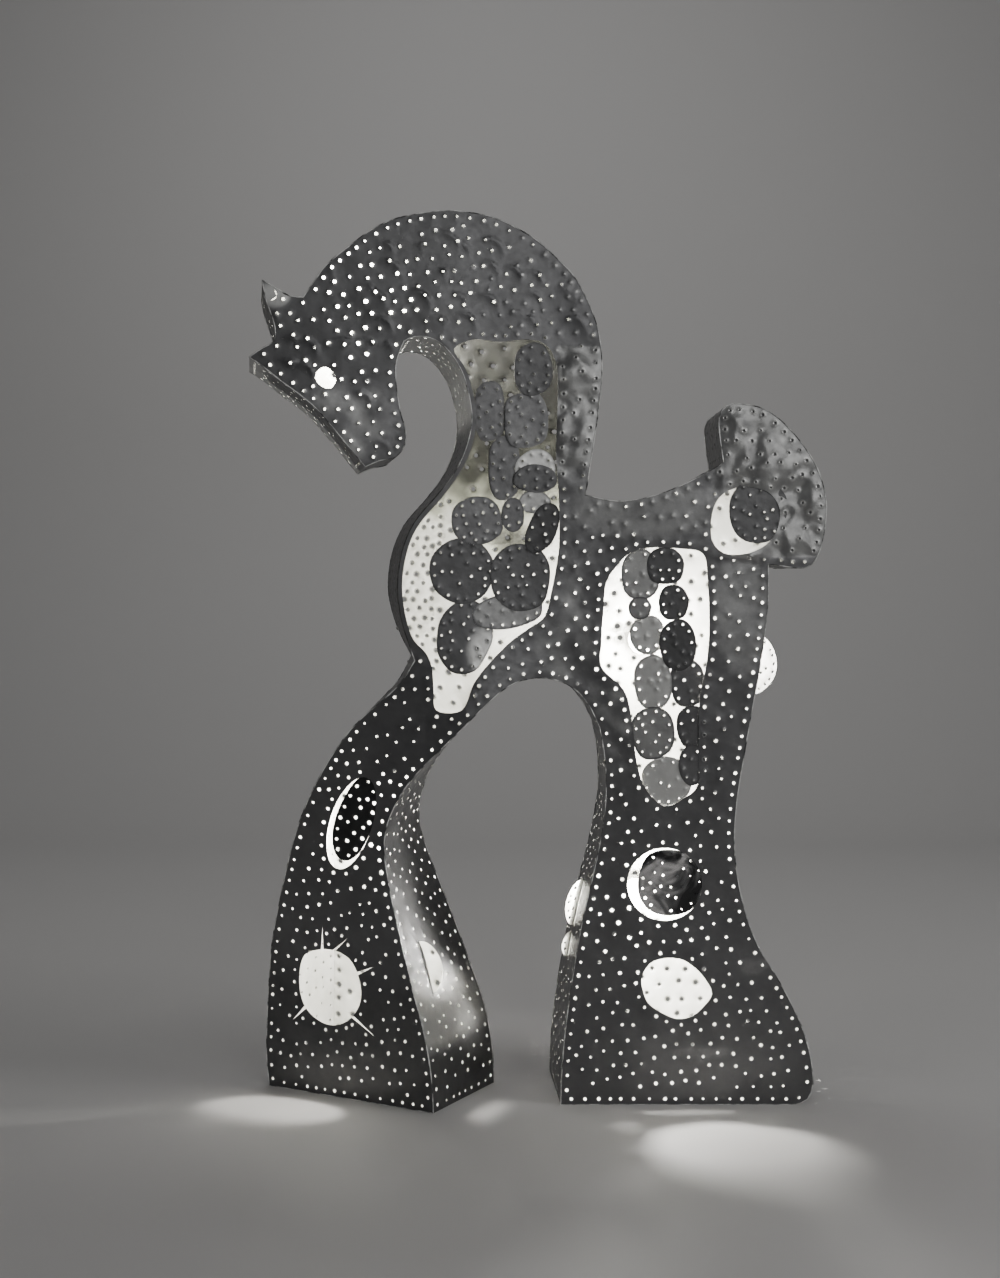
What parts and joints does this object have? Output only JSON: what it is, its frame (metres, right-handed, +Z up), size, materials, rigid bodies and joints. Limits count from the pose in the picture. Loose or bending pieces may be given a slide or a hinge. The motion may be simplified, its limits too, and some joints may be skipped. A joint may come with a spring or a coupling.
{
  "type": "pierced sheet-metal horse lantern sculpture",
  "caption": "Standing horse lantern sculpture: dark pierced sheet metal joined by edge strips, with cut windows, hung petals and lamps inside.",
  "frame": {"origin": "on the ground, at the middle of the whole horse's footprint box", "axes": "+Z up, +X from the head towards the tail, +Y from the near side to the far side, across the thickness"},
  "size_m": [0.7924, 0.2932, 1.2],
  "materials": {
    "blackened_steel": "blackened, hammered and pierced",
    "grey_steel": "grey, hammered and pierced",
    "bright_steel": "bare, rubbed and pierced",
    "lamp_holder": "matt",
    "bulb_glass": "frosted and lit"
  },
  "bodies": {
    "root": {"bulb_head": "bulb_glass", "bulb_hip": "bulb_glass", "bulb_hoof": "bulb_glass", "bulb_shin": "bulb_glass", "disc_oval": "blackened_steel", "disc_round": "bright_steel", "disc_tail": "grey_steel", "edge_back": "blackened_steel", "edge_belly": "blackened_steel", "edge_calf": "blackened_steel", "edge_ear": "blackened_steel", "edge_face": "blackened_steel", "edge_forehead": "blackened_steel", "edge_front_foot": "blackened_steel", "edge_hind_foot": "blackened_steel", "edge_hock": "blackened_steel", "edge_jaw": "blackened_steel", "edge_mane": "blackened_steel", "edge_shin": "blackened_steel", "edge_tail": "blackened_steel", "edge_thigh": "blackened_steel", "edge_throat": "blackened_steel", "far_side": "blackened_steel", "flap_calf": "bright_steel", "flap_hock": "bright_steel", "flap_thigh_lower": "bright_steel", "flap_thigh_upper": "bright_steel", "holder_head": "lamp_holder", "holder_hip": "lamp_holder", "holder_hoof": "lamp_holder", "holder_shin": "lamp_holder", "near_side": "blackened_steel", "petal_hip_00": "grey_steel", "petal_hip_01": "grey_steel", "petal_hip_02": "grey_steel", "petal_hip_03": "grey_steel", "petal_hip_04": "grey_steel", "petal_hip_05": "grey_steel", "petal_hip_06": "bright_steel", "petal_hip_07": "grey_steel", "petal_hip_08": "grey_steel", "petal_hip_09": "grey_steel", "petal_hip_10": "grey_steel", "petal_hip_11": "bright_steel", "petal_neck_00": "grey_steel", "petal_neck_01": "grey_steel", "petal_neck_02": "grey_steel", "petal_neck_03": "grey_steel", "petal_neck_04": "bright_steel", "petal_neck_05": "grey_steel", "petal_neck_06": "bright_steel", "petal_neck_07": "grey_steel", "petal_neck_08": "grey_steel", "petal_neck_09": "grey_steel", "petal_neck_10": "grey_steel", "petal_neck_11": "grey_steel", "petal_neck_12": "grey_steel", "petal_neck_13": "grey_steel"}
  },
  "joints": []
}
